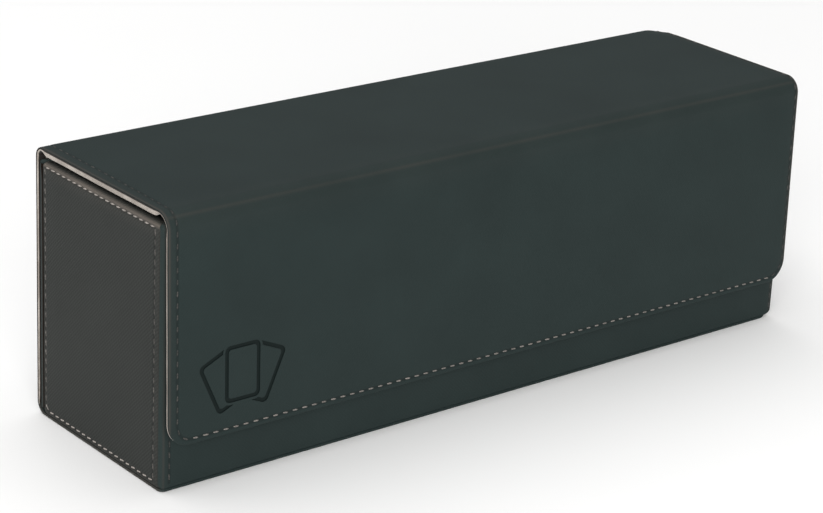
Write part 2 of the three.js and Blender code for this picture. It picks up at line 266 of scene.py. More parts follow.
class Sheet:
    """A closed sheet on a grid of v across and s along, with an outer and an inner depth."""

    def __init__(self, vs, ss, free, place, corners=()):
        """free says which of the edges low v, high v, low s and high s are free edges."""
        self.place = place
        v, s = np.meshgrid(vs, ss, indexing="ij")
        sides = [v - vs[0], vs[-1] - v, s - ss[0], ss[-1] - s]
        far = np.full_like(v, 1.0)
        self.inset = np.minimum.reduce([d if is_free else far for d, is_free in zip(sides, free)])
        # Where the painted highlight and wear band of an edge lies; by default the distance from a free
        # edge.
        self.highlight_and_wear = self.inset
        self.seam = np.ones_like(v, bool)
        for high_v, high_s, radius in corners:
            v_edge, s_edge = vs[-1 if high_v else 0], ss[-1 if high_s else 0]
            inward = (-1 if high_v else 1, -1 if high_s else 1)
            v, s = round_corner(v, s, v_edge, s_edge, inward, radius)
        self.v, self.s = v, s
        self.row = self.inner_row = far

    def build(self, name, outer, inner, materials, mirror=1):
        """Makes the piece. Its uv map flat holds the place on the sheet, in mm.

        Its uv map edge holds the distance from an edge with a painted highlight and wear, below zero on the
        inner side of a seam, and the distance from a stitch row, which on a lining is the distance from its
        dark brown band.
        """
        rows, columns = self.v.shape
        mesh = bmesh.new()
        layers = []
        for depth in (outer, inner):
            depth = np.broadcast_to(depth, self.v.shape)
            points = self.place(self.v.ravel(), self.s.ravel(), depth.ravel())
            layers.append([mesh.verts.new(p) for p in points])
        flat = mesh.loops.layers.uv.new("flat")
        edge = mesh.loops.layers.uv.new("edge")

        def face(corners):
            made = mesh.faces.new([layers[layer][i * columns + j] for layer, i, j in corners])
            for loop, (layer, i, j) in zip(made.loops, corners):
                side = -1 if layer and self.seam[i, j] else 1
                loop[flat].uv = (mirror * self.v[i, j] / MM, self.s[i, j] / MM)
                row = self.inner_row if layer else self.row
                loop[edge].uv = (side * self.highlight_and_wear[i, j] / MM, row[i, j] / MM)

        for i in range(rows - 1):
            for j in range(columns - 1):
                ring = [(i, j), (i + 1, j), (i + 1, j + 1), (i, j + 1)]
                face([(0, *c) for c in ring])
                face([(1, *c) for c in reversed(ring)])
        border = [(i, 0) for i in range(rows)] + [(rows - 1, j) for j in range(1, columns)]
        border += [(i, columns - 1) for i in range(rows - 2, -1, -1)]
        border += [(0, j) for j in range(columns - 2, -1, -1)]
        for (i, j), (k, m) in zip(border, border[1:]):
            face([(0, k, m), (0, i, j), (1, i, j), (1, k, m)])
        bmesh.ops.remove_doubles(mesh, verts=mesh.verts, dist=1e-7)
        bmesh.ops.recalc_face_normals(mesh, faces=mesh.faces)
        return finish_mesh(name, mesh, materials)


def finish_mesh(name, mesh, materials, sharp=40):
    data = bpy.data.meshes.new(name)
    mesh.to_mesh(data)
    mesh.free()
    data.shade_smooth()
    data.set_sharp_from_angle(angle=math.radians(sharp))
    piece = bpy.data.objects.new(name, data)
    bpy.context.scene.collection.objects.link(piece)
    for material in materials:
        data.materials.append(material)
    return piece


# ---- Materials --------------------------------------------------------------------------------------


class Shader:
    """Short names for making a node material."""

    def __init__(self, name):
        self.material = bpy.data.materials.new(name)
        self.material.use_nodes = True
        self.tree = self.material.node_tree
        self.surface = self.tree.nodes["Principled BSDF"]

    def feed(self, socket, value):
        """Links an output to a socket, or gives the socket a plain value."""
        if isinstance(value, bpy.types.NodeSocket):
            self.tree.links.new(value, socket)
        else:
            socket.default_value = value

    def node(self, kind, links=None, **settings):
        node = self.tree.nodes.new(kind)
        for key, value in settings.items():
            setattr(node, key, value)
        for key, value in (links or {}).items():
            self.feed(node.inputs[key], value)
        return node

    def add(self, a, b):
        return self.node("ShaderNodeMath", {0: a, 1: b}, operation="ADD").outputs[0]

    def times(self, a, b):
        return self.node("ShaderNodeMath", {0: a, 1: b}, operation="MULTIPLY").outputs[0]

    def noise(self, vector, scale, detail=3.0, roughness=0.5, distortion=0.0):
        links = {
            "Vector": vector,
            "Scale": scale,
            "Detail": detail,
            "Roughness": roughness,
            "Distortion": distortion,
        }
        return self.node("ShaderNodeTexNoise", links).outputs["Fac"]

    def remap(self, value, low, high, to_low, to_high):
        links = {"Value": value, 1: low, 2: high, 3: to_low, 4: to_high}
        return self.node("ShaderNodeMapRange", links, clamp=True).outputs[0]

    def mix(self, share, a, b, blend="MIX"):
        node = self.node("ShaderNodeMix", data_type="RGBA", blend_type=blend)
        for socket, value in zip((node.inputs[0], node.inputs[6], node.inputs[7]), (share, a, b)):
            self.feed(socket, value)
        return node.outputs[2]

    def bump(self, height, distance):
        return self.node("ShaderNodeBump", {"Height": height, "Distance": distance}).outputs[0]

    def set(self, **sockets):
        for key, value in sockets.items():
            self.feed(self.surface.inputs[key.replace("_", " ")], value)
        return self.material


def colour(r, g, b):
    """A linear colour from 0 to 255 display values."""
    values = [c / 255 for c in (r, g, b)]
    return tuple(c / 12.92 if c <= 0.04045 else ((c + 0.055) / 1.055) ** 2.4 for c in values) + (1.0,)


def shade(tint, amount):
    return tuple(c * amount for c in tint[:3]) + (1.0,)


def leatherette(name, body, edge_highlight_and_wear, relief, valley_shade):
    """Embossed synthetic leather: fine diagonal ridges with a cross grain, painted shade in the ridge
    valleys and along stitch rows, paler where an edge has a painted highlight and wear, and dark brown on
    the inner side of a seam.
    """
    shader = Shader(name)
    flat = shader.node("ShaderNodeUVMap", uv_map="flat").outputs[0]
    edge = shader.node("ShaderNodeUVMap", uv_map="edge").outputs[0]
    inset, row, _ = shader.node("ShaderNodeSeparateXYZ", {0: edge}).outputs
    period = 2 * math.pi / 20

    def ridges(angle, pitch, distortion):
        turn = {"Vector": flat, "Rotation": (0, 0, math.radians(angle))}
        turned = shader.node("ShaderNodeMapping", turn).outputs[0]
        links = {"Vector": turned, "Scale": period / pitch, "Distortion": distortion}
        links |= {"Detail": 1.0, "Detail Scale": 0.5}
        return shader.node("ShaderNodeTexWave", links, bands_direction="Y").outputs["Fac"]

    main = ridges(45, 1.04, 0.7)
    cross = ridges(-66, 1.6, 1.2)
    pebble = shader.noise(flat, 2.6, 4.0, 0.6)
    blotch = shader.noise(flat, 0.03, 3.0, 0.55)
    height = shader.add(shader.times(main, 0.6), shader.times(cross, 0.25))
    height = shader.add(height, shader.times(pebble, 0.45))
    tone = shader.add(shader.times(blotch, 0.6), shader.times(pebble, 0.4))
    tint = shader.mix(shader.remap(tone, 0.3, 0.7, 0.0, 1.0), shade(body, 0.88), shade(body, 1.12))
    # Painted shade: the valleys between the embossed ridges are darkened.
    valley_shade_mask = shader.times(shader.add(main, shader.times(cross, 0.3)), 0.77)
    tint = shader.mix(shader.remap(valley_shade_mask, 0.15, 0.85, valley_shade, 0.0), tint, shade(body, 0.35))
    # Painted shade: the leather is darkened along each stitch row, beside the sewn groove.
    sewn = shader.remap(row, 0.25, 0.9, 0.55, 0.0)
    tint = shader.mix(sewn, tint, shade(body, 0.45))
    # Painted highlight together with wear: the rolled edge is tinted paler, most a little in from the edge,
    # patchy with the blotches.
    crest = shader.remap(inset, 0.05, 0.35, 0.0, 1.0)
    rolled = shader.times(crest, shader.remap(inset, 0.4, 1.2, 1.0, 0.1))
    rolled = shader.times(rolled, shader.remap(inset, 1.2, 4.0, 1.0, 0.0))
    highlight_and_wear_mask = shader.times(rolled, shader.remap(blotch, 0.35, 0.65, 0.7, 1.0))
    tint = shader.mix(highlight_and_wear_mask, tint, edge_highlight_and_wear)
    # Dark brown on the inner side of a seam, over the inner half of the rolled edge.
    brown_seam_band = shader.remap(inset, -0.02, 0.03, 1.0, 0.0)
    tint = shader.mix(brown_seam_band, tint, SEAM_BROWN)
    return shader.set(
        Base_Color=tint,
        Roughness=shader.remap(pebble, 0.3, 0.7, 0.66, 0.54),
        Specular_IOR_Level=0.12,
        Normal=shader.bump(height, relief * MM),
    )


def deboss_floor(name, body):
    """The pressed floor of the mark: the same leatherette, ironed smooth and darker."""
    shader = Shader(name)
    place = shader.node("ShaderNodeTexCoord").outputs["Object"]
    grain = shader.noise(place, 2500, 3.0)
    return shader.set(
        Base_Color=shader.mix(grain, shade(body, 0.38), shade(body, 0.52)),
        Roughness=shader.remap(grain, 0.3, 0.7, 0.5, 0.6),
        Specular_IOR_Level=0.06,
        Normal=shader.bump(grain, 0.01 * MM),
    )


def microfibre(name, pile_tint, shadow_tint, brown_seam_band=False):
    """Short brushed pile, matte and softly mottled. With the brown band flag, the sheet is also darker in
    random patches and has a dark brown line along the leather.
    """
    shader = Shader(name)
    place = shader.node("ShaderNodeTexCoord").outputs["Object"]
    pile = shader.noise(place, 2600, 5.0, 0.65)
    brushed = shader.noise(place, 75, 4.0, 0.6, 0.6)
    tone = shader.add(shader.times(pile, 0.45), shader.times(brushed, 0.55))
    tint = shader.mix(shader.remap(tone, 0.38, 0.62, 0.0, 1.0), shadow_tint, pile_tint)
    if brown_seam_band:
        # Darker in random patches, about 14 mm across.
        dull_patches = shader.noise(place, 70, 2.0)
        tint = shader.mix(shader.remap(dull_patches, 0.4, 0.6, 0.0, 0.6), tint, shadow_tint)
        edge = shader.node("ShaderNodeUVMap", uv_map="edge").outputs[0]
        row = shader.node("ShaderNodeSeparateXYZ", {0: edge}).outputs[1]
        # Dark brown where the sheet lies along the leather.
        tint = shader.mix(shader.remap(row, 0.18, 0.32, 1.0, 0.0), tint, SEAM_BROWN)
    return shader.set(
        Base_Color=tint,
        Roughness=shader.remap(brushed, 0.3, 0.7, 0.98, 0.88),
        Specular_IOR_Level=0.2,
        Sheen_Weight=0.2,
        Sheen_Roughness=0.5,
        Normal=shader.bump(pile, 0.12 * MM),
    )


def thread(name, dark, light):
    """Bonded polyester thread: two plies, with a soft gloss and painted shade between the plies. edge holds
    a stitch's painted glint: how far its colour goes from dark to the paler tint, as if the stitch caught
    the light.
    """
    shader = Shader(name)
    flat = shader.node("ShaderNodeUVMap", uv_map="flat").outputs[0]
    edge = shader.node("ShaderNodeUVMap", uv_map="edge").outputs[0]
    painted_glint = shader.node("ShaderNodeSeparateXYZ", {0: edge}).outputs[0]
    ply = shader.node(
        "ShaderNodeTexWave", {"Vector": flat, "Scale": 1.0, "Distortion": 0.4}, bands_direction="DIAGONAL"
    ).outputs["Fac"]
    glinted_tint = shader.mix(painted_glint, dark, light)
    # Painted shade in the grooves between the two plies.
    ply_groove_shade = shader.mix(1.0, glinted_tint, (0.62, 0.62, 0.62, 1.0), blend="MULTIPLY")
    return shader.set(
        Base_Color=shader.mix(ply, ply_groove_shade, glinted_tint),
        Roughness=shader.remap(ply, 0.0, 1.0, 0.6, 0.48),
        Specular_IOR_Level=0.25,
        Normal=shader.bump(ply, 0.05 * MM),
    )


def greyboard(name):
    shader = Shader(name)
    place = shader.node("ShaderNodeTexCoord").outputs["Object"]
    fibre = shader.noise(place, 1400, 5.0, 0.7, 1.2)
    return shader.set(
        Base_Color=shader.mix(fibre, colour(120, 110, 94), colour(168, 158, 140)),
        Roughness=shader.remap(fibre, 0.3, 0.7, 0.95, 0.85),
        Normal=shader.bump(fibre, 0.05 * MM),
    )


def nickel(name):
    shader = Shader(name)
    place = shader.node("ShaderNodeTexCoord").outputs["Object"]
    smear = shader.noise(place, 900, 4.0, 0.6)
    return shader.set(
        Base_Color=shader.mix(smear, colour(168, 170, 172), colour(190, 190, 188)),
        Metallic=1.0,
        Roughness=shader.remap(smear, 0.3, 0.7, 0.22, 0.38),
        Normal=shader.bump(smear, 0.01 * MM),
    )


def divider_plastic(name):
    """Fine-sand textured polypropylene sheet."""
    shader = Shader(name)
    place = shader.node("ShaderNodeTexCoord").outputs["Object"]
    sand = shader.noise(place, 2200, 3.0, 0.6)
    cloud = shader.noise(place, 45, 3.0)
    return shader.set(
        Base_Color=shader.mix(cloud, colour(40, 43, 44), colour(48, 51, 52)),
        Roughness=shader.remap(sand, 0.3, 0.7, 0.58, 0.44),
        Normal=shader.bump(sand, 0.02 * MM),
    )


# SEAM_BROWN is the dark brown along the seam between the leather and the pale lining.
SEAM_BROWN = (0.012, 0.009, 0.007, 1.0)
SLATE = (0.0172, 0.0272, 0.0265, 1.0)
# The end panels' tint: painted brighter and warmer than the slate above, as if the ends caught more light.
LIT_PANEL_SLATE = (0.0292, 0.032, 0.0298, 1.0)
# Paler edge tints: painted highlights along the cover's edges and front fold (together with wear), along the
# box's end corners and along the end panels' rim.
COVER_EDGE_HIGHLIGHT_AND_WEAR = (0.05, 0.046, 0.041, 1.0)
BOX_CORNER_HIGHLIGHT = (0.038, 0.04, 0.037, 1.0)
PANEL_RIM_HIGHLIGHT = (0.12, 0.104, 0.09, 1.0)
COVER_PILE = (0.52, 0.475, 0.43, 1.0)
COVER_PILE_SHADOW = (0.22, 0.19, 0.165, 1.0)
BOX_PILE = (0.4, 0.37, 0.34, 1.0)
BOX_PILE_SHADOW = (0.26, 0.24, 0.22, 1.0)
# The thread's own dark colour, and a paler tint for painted glint on stitches that lie level on an upright
# face.
DARK_THREAD = (0.036, 0.037, 0.035, 1.0)
THREAD_GLINT_TINT = (0.4, 0.36, 0.33, 1.0)

# The last setting of each leatherette is painted shade in the emboss valleys: slight on the cover and box,
# strong on the end panels.
COVER_LEATHER = leatherette("cover_leatherette", SLATE, COVER_EDGE_HIGHLIGHT_AND_WEAR, relief=0.02, valley_shade=0.08)
BOX_LEATHER = leatherette("box_leatherette", SLATE, BOX_CORNER_HIGHLIGHT, relief=0.02, valley_shade=0.08)
PANEL_LEATHER = leatherette("panel_leatherette", LIT_PANEL_SLATE, PANEL_RIM_HIGHLIGHT, relief=0.06, valley_shade=0.5)
MARK_FLOOR = deboss_floor("mark_floor", SLATE)
PALE_FIBRE = microfibre("cover_microfibre", COVER_PILE, COVER_PILE_SHADOW, brown_seam_band=True)
BOX_FIBRE = microfibre("box_microfibre", BOX_PILE, BOX_PILE_SHADOW)
THREAD = thread("stitching_thread", DARK_THREAD, THREAD_GLINT_TINT)
BOARD = greyboard("greyboard")
MAGNET = nickel("magnet_nickel")
PLASTIC = divider_plastic("divider_plastic")

# ---- The cover --------------------------------------------------------------------------------------


def corner_droop(v, s):
    """How far the lid's right rear corner has sunk: the fold has relaxed where nothing holds it."""
    deepest = 1.1 * MM
    fold = (MARKS["rear_fold"] + MARKS["lid"]) / 2
    near_fold = 1 - ease(np.abs(np.asarray(s) - fold), 3 * MM, 11 * MM)
    near_end = 1 - ease(HALF - np.asarray(v), -1 * MM, 8 * MM)
    return deepest * near_fold * near_end


def cover_place(v, s, depth):
    points, inwards = COVER_LINE.at(s)
    flat = points + (np.asarray(depth) + corner_droop(v, s))[..., None] * inwards
    return np.column_stack([v, flat])


def cover_rows():
    """The stitch rows near the cover's free edges, as (v, s, painted glint), closest on the right."""
    foot_inset = 2.05 * MM
    foot = COVER_LINE.length - foot_inset
    corner = [math.radians(a) for a in range(0, 91, 9)]

    def rows(side, back_inset, lid_inset, flap_inset, wide, tall):
        rear = [
            (side * (HALF - back_inset), MARKS["back"] + 3.7 * MM, 0.0),
            (side * (HALF - back_inset), MARKS["rear_fold"], 0.0),
            (side * (HALF - lid_inset), MARKS["lid"], 0.0),
            (side * (HALF - lid_inset), SPLIT, 0.0),
        ]
        front = [(side * (HALF - lid_inset), SPLIT, 0.0), (side * (HALF - flap_inset), MARKS["flap"], 0.0)]
        for angle in corner:
            v = HALF - flap_inset - wide * (1 - math.cos(angle))
            s = foot - tall * (1 - math.sin(angle))
            # Painted glint: the row along the flap's foot is painted paler, as if it caught the light, and
            # the side rows stay dark.
            front.append((side * v, s, 0.5 * float(ease(math.degrees(angle), 75, 90))))
        return rear, front

    left_rear, left_front = rows(-1, 3.7 * MM, 4.6 * MM, 3.7 * MM, 5.6 * MM, 6.6 * MM)
    right_rear, right_front = rows(1, 2.4 * MM, 1.3 * MM, 1.5 * MM, 7.6 * MM, 7.2 * MM)
    return [left_rear, right_rear[::-1]], [left_front + right_front[::-1]]


REAR_ROWS, FRONT_ROWS = cover_rows()


def cover_sheet(start, end, half, free, rows, corners=()):
    """The grid of a cover layer between two places on the route. free is for the first and last edge."""
    low_free, high_free = free
    low_end, high_end = start + EDGE_INSETS[-1] * low_free, end - EDGE_INSETS[-1] * high_free
    near_edges = [s for s in spread(start, end, 8 * MM, *free) if s < low_end or s > high_end]
    bends = [MARKS[name] + i * MM for name in MARKS for i in (-4, -3, -2, -1, 1, 2, 3, 4)]
    bends = [s for s in bends if low_end < s < high_end]
    ss = thinned(sorted([*near_edges, *bends, *COVER_LINE.stations(low_end, high_end, 6 * MM)]))
    sheet = Sheet(spread(-half, half, 8 * MM), ss, (True, True, *free), cover_place, corners)
    sheet.row = sheet.inner_row = distance_to(rows, sheet.v, sheet.s)
    return sheet


def sewn_groove(sheet, depth):
    return depth * np.exp(-((sheet.row / GROOVE_WIDTH) ** 2))


def build_cover_leather():
    foot_corners = [(False, False, LEFT_FOOT_RADIUS), (True, False, RIGHT_FOOT_RADIUS)]
    flap_corners = [(high_v, True, FLAP_CORNER_RADIUS) for high_v in (False, True)]
    spans = {
        "cover_leather_rear": (0.0, SPLIT, (True, False), REAR_ROWS, foot_corners),
        "cover_leather_front": (SPLIT, COVER_LINE.length, (False, True), FRONT_ROWS, flap_corners),
    }
    pieces = []
    for name, (start, end, free, rows, corners) in spans.items():
        sheet = cover_sheet(start, end, HALF, free, rows, corners)
        if start == 0.0:
            # Painted highlight together with wear along the side edges; on the underside the band sits 0.4
            # mm nearer the edge.
            underside_shift = 0.4 * MM * (1 - ease(sheet.s, MARKS["heel"], MARKS["back"]))
            sheet.highlight_and_wear = HALF - np.abs(sheet.v) + underside_shift
            sheet.seam = sheet.s > MARKS["back"]
        else:
            # Painted highlight together with wear along the side edges and along the middle of the front
            # fold.
            from_fold = np.abs(sheet.s - (MARKS["front_fold"] + MARKS["flap"]) / 2)
            sheet.highlight_and_wear = np.minimum(HALF - np.abs(sheet.v), 0.9 * MM + 0.3 * from_fold)
        calm = ease(sheet.inset, 0, 5 * MM) * ease(sheet.s, MARKS["back"], MARKS["back"] + 5 * MM)
        wave = 0.06 * MM * ripple(sheet.v, sheet.s, 55 * MM, 3.1)
        wave += 0.03 * MM * ripple(sheet.v, sheet.s, 14 * MM, 8.7)
        thin = ease(sheet.s, MARKS["heel"], MARKS["back"] + 2 * MM)
        edge_skin = SKIN + (LEATHER - SKIN) * thin
        pressed = 0.12 * MM * (1 - ease(sheet.inset, 0.8 * MM, 6 * MM)) * thin
        outer = bullnose(sheet.inset, 0.8 * MM, edge_skin / 2) + pressed
        outer = outer + sewn_groove(sheet, depth=0.16 * MM) + wave * calm
        inner = edge_skin - bullnose(sheet.inset, 0.4 * MM, edge_skin / 2) + pressed
        inner = inner + (SKIN - edge_skin) * ease(sheet.inset, *TAPER)
        inner = np.maximum(inner, outer)
        pieces.append(sheet.build(name, outer, inner, [COVER_LEATHER, MARK_FLOOR]))
    return pieces


def lining_depth(s, inset):
    """The inner depth of the pale lining: thin at its edges, and pressed thin at both folds."""
    folds = [(MARKS["rear_fold"], MARKS["lid"]), (MARKS["front_fold"], MARKS["flap"])]
    back_edge, lid_edge, flap_edge = 1.35, 3.1, 1.75
    beyond_back = np.where(s < MARKS["front_fold"], lid_edge, flap_edge)
    edge = np.where(s < MARKS["rear_fold"], back_edge, beyond_back) * MM
    full = np.where(s < MARKS["rear_fold"], 2.5 * MM, COVER)
    depth = edge + (full - edge) * ease(inset, *TAPER)
    for start, end in folds:
        inside = ease(s, start - 3 * MM, start + MM) * (1 - ease(s, end - MM, end + 3 * MM))
        depth = depth + (1.35 * MM - depth) * inside
    return depth


def build_cover_lining():
    setback = 0.1 * MM
    flap_corners = [(high_v, True, FLAP_CORNER_RADIUS - setback) for high_v in (False, True)]
    spans = {
        "cover_lining_rear": (MARKS["back"] - 4 * MM, SPLIT, (True, False), ()),
        "cover_lining_front": (SPLIT, COVER_LINE.length - setback, (False, True), flap_corners),
    }
    pieces = []
    for name, (start, end, free, corners) in spans.items():
        sheet = cover_sheet(start, end, HALF - setback, free, [], corners)
        wave = ripple(sheet.v, sheet.s, 9 * MM, 5.5) + 0.5 * ripple(sheet.v, sheet.s, 3 * MM, 7.5)
        near_edge = 1 - ease(sheet.inset, 0.5 * MM, 3 * MM)
        lid_start, lid_end = MARKS["lid"], MARKS["front_fold"]
        on_lid = ease(sheet.s, lid_start, lid_start + MM) * (1 - ease(sheet.s, lid_end - MM, lid_end))
        round_off = bullnose(sheet.inset, (0.45 + 0.4 * on_lid) * MM, (0.35 + 0.75 * on_lid) * MM)
        outer = LEATHER + 0.12 * MM + SEAM + (SKIN - LEATHER) * ease(sheet.inset, *TAPER)
        inner = lining_depth(sheet.s, sheet.inset) - round_off + 0.13 * MM * wave * near_edge
        outer = outer + bullnose(sheet.inset, 0.45 * MM, 0.18 * MM)
        if start < SPLIT:
            inner = outer + (inner - outer) * ease(sheet.s, start, start + 7 * MM)
        # A dark brown band on the lining's inner face, about 0.4 to 3 mm in from its edge, on the back and
        # over the rear fold only.
        brown_band_mask = ease(sheet.inset, 0.25 * MM, 0.4 * MM) * (1 - ease(sheet.inset, 3 * MM, 4 * MM))
        brown_band_mask = brown_band_mask * (1 - ease(sheet.s, lid_start, lid_start + 2 * MM))
        sheet.row, sheet.inner_row = 0 * sheet.v, MM * (1 - brown_band_mask)
        pieces.append(sheet.build(name, outer, np.maximum(inner, outer + 0.03 * MM), [PALE_FIBRE]))
    return pieces


# ---- Stitches ---------------------------------------------------------------------------------------


def resample(row, pitch):
    """Stitch centres, directions and painted glint along a row, at an even pitch that divides it."""
    row = np.array(row, float)
    points, painted_glint = row[:, :2], row[:, 2]
    lengths = np.linalg.norm(np.diff(points, axis=0), axis=1)
    travelled = np.concatenate([[0], np.cumsum(lengths)])
    count = max(1, round(travelled[-1] / pitch))
    for middle in (np.arange(count) + 0.5) * travelled[-1] / count:
        k = min(np.searchsorted(travelled, middle) - 1, len(lengths) - 1)
        direction = (points[k + 1] - points[k]) / lengths[k]
        centre = points[k] + direction * (middle - travelled[k])
        yield centre, direction, np.interp(middle, travelled, painted_glint)


def stitch_rows(name, place, rows, pitch, sunk, slant=4.0, duty=0.6):
    """Separate threads that dip into the leather at both ends. place is (v, s, depth) to points."""
    rng = np.random.default_rng(11)
    rings, sides = 9, 8
    t = np.linspace(-1, 1, rings)[:, None]
    turn = np.linspace(0, 2 * math.pi, sides, endpoint=False)[None, :]
    ply = 1 + 0.1 * np.cos(2 * turn + 5.0 * t)
    half_width = THREAD_WIDTH * (1 - 0.35 * np.abs(t) ** 3) / 2
    rise = THREAD_HEIGHT * (0.62 * (1 - np.abs(t) ** 3.2) - 0.42)
    lift = rise + np.sin(turn) * THREAD_HEIGHT / 2 * ply
    places, painted_glints = [], []
    for row in rows:
        for centre, direction, painted_glint in resample(row, pitch):
            angle = math.radians(slant + rng.normal(0, 1.5))
            reach = duty * pitch * (1 + rng.normal(0, 0.03)) / 2
            cos, sin = math.cos(angle), math.sin(angle)
            along = (direction[0] * cos - direction[1] * sin, direction[0] * sin + direction[1] * cos)
            side = np.cos(turn) * half_width * ply
            v = centre[0] + along[0] * t * reach - along[1] * side
            s = centre[1] + along[1] * t * reach + along[0] * side
            places.append(np.stack([v, s, sunk - lift], axis=-1))
            painted_glints.append(painted_glint + rng.normal(0, 0.06))
    places = np.concatenate([p.reshape(-1, 3) for p in places])
    mesh = bmesh.new()
    flat = mesh.loops.layers.uv.new("flat")
    edge = mesh.loops.layers.uv.new("edge")
    verts = [mesh.verts.new(p) for p in place(places[:, 0], places[:, 1], places[:, 2])]
    for n, painted_glint in enumerate(painted_glints):
        ring = [verts[n * rings * sides + i * sides :][:sides] for i in range(rings)]
        for i in range(rings - 1):
            for j in range(sides):
                k = (j + 1) % sides
                face = mesh.faces.new([ring[i][j], ring[i][k], ring[i + 1][k], ring[i + 1][j]])
                for corner, (a, b) in zip(face.loops, [(i, j), (i, j + 1), (i + 1, j + 1), (i + 1, j)]):
                    corner[flat].uv = (a * 0.16, b * 0.08)
                    corner[edge].uv = (painted_glint, 0)
        mesh.faces.new(ring[0])
        mesh.faces.new(ring[-1])
    bmesh.ops.recalc_face_normals(mesh, faces=mesh.faces)
    return finish_mesh(name, mesh, [THREAD], sharp=70)


def build_cover_stitches():
    sunk = 0.3 * MM
    rear = stitch_rows("cover_stitches_rear", cover_place, REAR_ROWS, COVER_PITCH, sunk)
    front = stitch_rows("cover_stitches_front", cover_place, FRONT_ROWS, COVER_PITCH, sunk, duty=0.55)
    return rear, front


# ---- The embossed mark: a fan of three blank cards ----------------------------------------------------

CARD_WIDTH = 15 * MM
CARD_HEIGHT = 21.5 * MM
CARD_RADIUS = 2.2 * MM
FAN_ANGLE = 24


def card_outline(width, height, radius, steps_per_corner=6):
    points = []
    for cx, cy, start in ((1, 1, 0), (-1, 1, 90), (-1, -1, 180), (1, -1, 270)):
        for i in range(steps_per_corner + 1):
            angle = math.radians(start + 90 * i / steps_per_corner)
            points.append(
                (
                    cx * (width / 2 - radius) + radius * math.cos(angle),
                    cy * (height / 2 - radius) + radius * math.sin(angle),
                )
            )
    return points


def prism(name, outline, low, high, turn, materials):
    """An upright prism on an outline in the mark's plane, turned about the fan's pivot."""
    mesh = bmesh.new()
    flat = mesh.loops.layers.uv.new("flat")
    edge = mesh.loops.layers.uv.new("edge")
    bottom = [mesh.verts.new((x, y, low)) for x, y in outline]
    top = [mesh.verts.new((x, y, high)) for x, y in outline]
    mesh.faces.new(bottom)
    mesh.faces.new(top)
    for i in range(len(outline)):
        k = (i + 1) % len(outline)
        mesh.faces.new([bottom[i], bottom[k], top[k], top[i]])
    for face in mesh.faces:
        face.material_index = 1
        for loop in face.loops:
            loop[flat].uv = (loop.vert.co.x * 100, loop.vert.co.y * 100)
            loop[edge].uv = (100, 0)
    bmesh.ops.recalc_face_normals(mesh, faces=mesh.faces)
    bmesh.ops.transform(mesh, matrix=turn, verts=mesh.verts)
    return finish_mesh(name, mesh, materials)


def cut(target, tool):
    """Cuts the tool out of the target, and removes the tool."""
    modifier = target.modifiers.new("cut", "BOOLEAN")
    modifier.operation = "DIFFERENCE"
    modifier.object = tool
    modifier.solver = "EXACT"
    bpy.context.view_layer.update()
    data = bpy.data.meshes.new_from_object(target.evaluated_get(bpy.context.evaluated_depsgraph_get()))
    target.modifiers.remove(modifier)
    target.data = data
    bpy.data.objects.remove(tool)


def card_ring(turn, materials, stroke, low, high):
    outline = card_outline(CARD_WIDTH, CARD_HEIGHT, CARD_RADIUS)
    ring = prism("mark_ring", outline, low, high, turn, materials)
    hole = card_outline(CARD_WIDTH - 2 * stroke, CARD_HEIGHT - 2 * stroke, CARD_RADIUS - 0.6 * stroke)
    cut(ring, prism("mark_hole", hole, low - MM, high + MM, turn, materials))
    return ring


def card_blank(turn, materials, grow, low, high):
    outline = card_outline(CARD_WIDTH + 2 * grow, CARD_HEIGHT + 2 * grow, CARD_RADIUS + grow)
    return prism("mark_blank", outline, low, high, turn, materials)


def press_mark(flap):
    """Presses the mark into the flap's lower left corner."""
    materials = [COVER_LEATHER, MARK_FLOOR]
    stroke, low, high, gap = 1.5 * MM, -0.32 * MM, 1.5 * MM, 0.9 * MM
    pivot = Vector((0, -19 * MM, 0))
    centre_v, centre_s = -HALF + 31 * MM, COVER_LINE.length - 22.5 * MM
    origin, above = (Vector(p) for p in cover_place([centre_v] * 2, [centre_s, centre_s - MM], [0, 0]))
    up = (above - origin).normalized()
    right = Vector((1, 0, 0))
    facing = right.cross(up)
    plane = Matrix((right, up, facing)).transposed().to_4x4()
    plane.translation = origin
    at_pivot, back_again = plane @ Matrix.Translation(pivot), Matrix.Translation(-pivot)
    left_card, right_card, middle_card = (
        at_pivot @ Matrix.Rotation(math.radians(angle), 4, "Z") @ back_again
        for angle in (FAN_ANGLE, -FAN_ANGLE, 0)
    )
    cards = ((left_card, [right_card, middle_card]), (right_card, [middle_card]), (middle_card, []))
    for turn, covers in cards:
        ring = card_ring(turn, materials, stroke, low, high)
        for cover in covers:
            cut(ring, card_blank(cover, materials, gap, low - MM, high + MM))
        cut(flap, ring)
    flap.data.set_sharp_from_angle(angle=math.radians(40))


# ---- The box: end panels and wall leather ------------------------------------------------------------

PANEL_THICKNESS = 1.6 * MM

# How far the panel's stitch rows are from its front, back, foot and top.
PANEL_FRONT, PANEL_BACK, PANEL_FOOT, PANEL_TOP = (i * MM for i in (3.0, 1.6, 1.65, 2.2))

# How far the front wall's stitch rows are from its left and right ends.
WALL_LEFT_ROW = 3.9 * MM
WALL_RIGHT_ROW = 1.9 * MM


def rim_route(face, rim_end, foot, radius):
    """Up a wall's face, over the rim and inwards. Its first coordinate is how far out a point is."""
    route = Route((0.0, foot), 90.0)
    route.run(RIM - radius - foot).mark("rim").turn(radius, 90).mark("top")
    return route.run(abs(face - rim_end) - radius)


def wall_place(route, face, side, along_x):
    """A sheet over a wall's face and rim. side is the way the face looks, 1 or -1."""

    def place(v, s, depth):
        points, inwards = route.at(s)
        out, z = np.moveaxis(points + np.asarray(depth)[..., None] * inwards, -1, 0)
        across = face + side * out
        return np.column_stack([v, across, z] if along_x else [across, v, z])

    return place


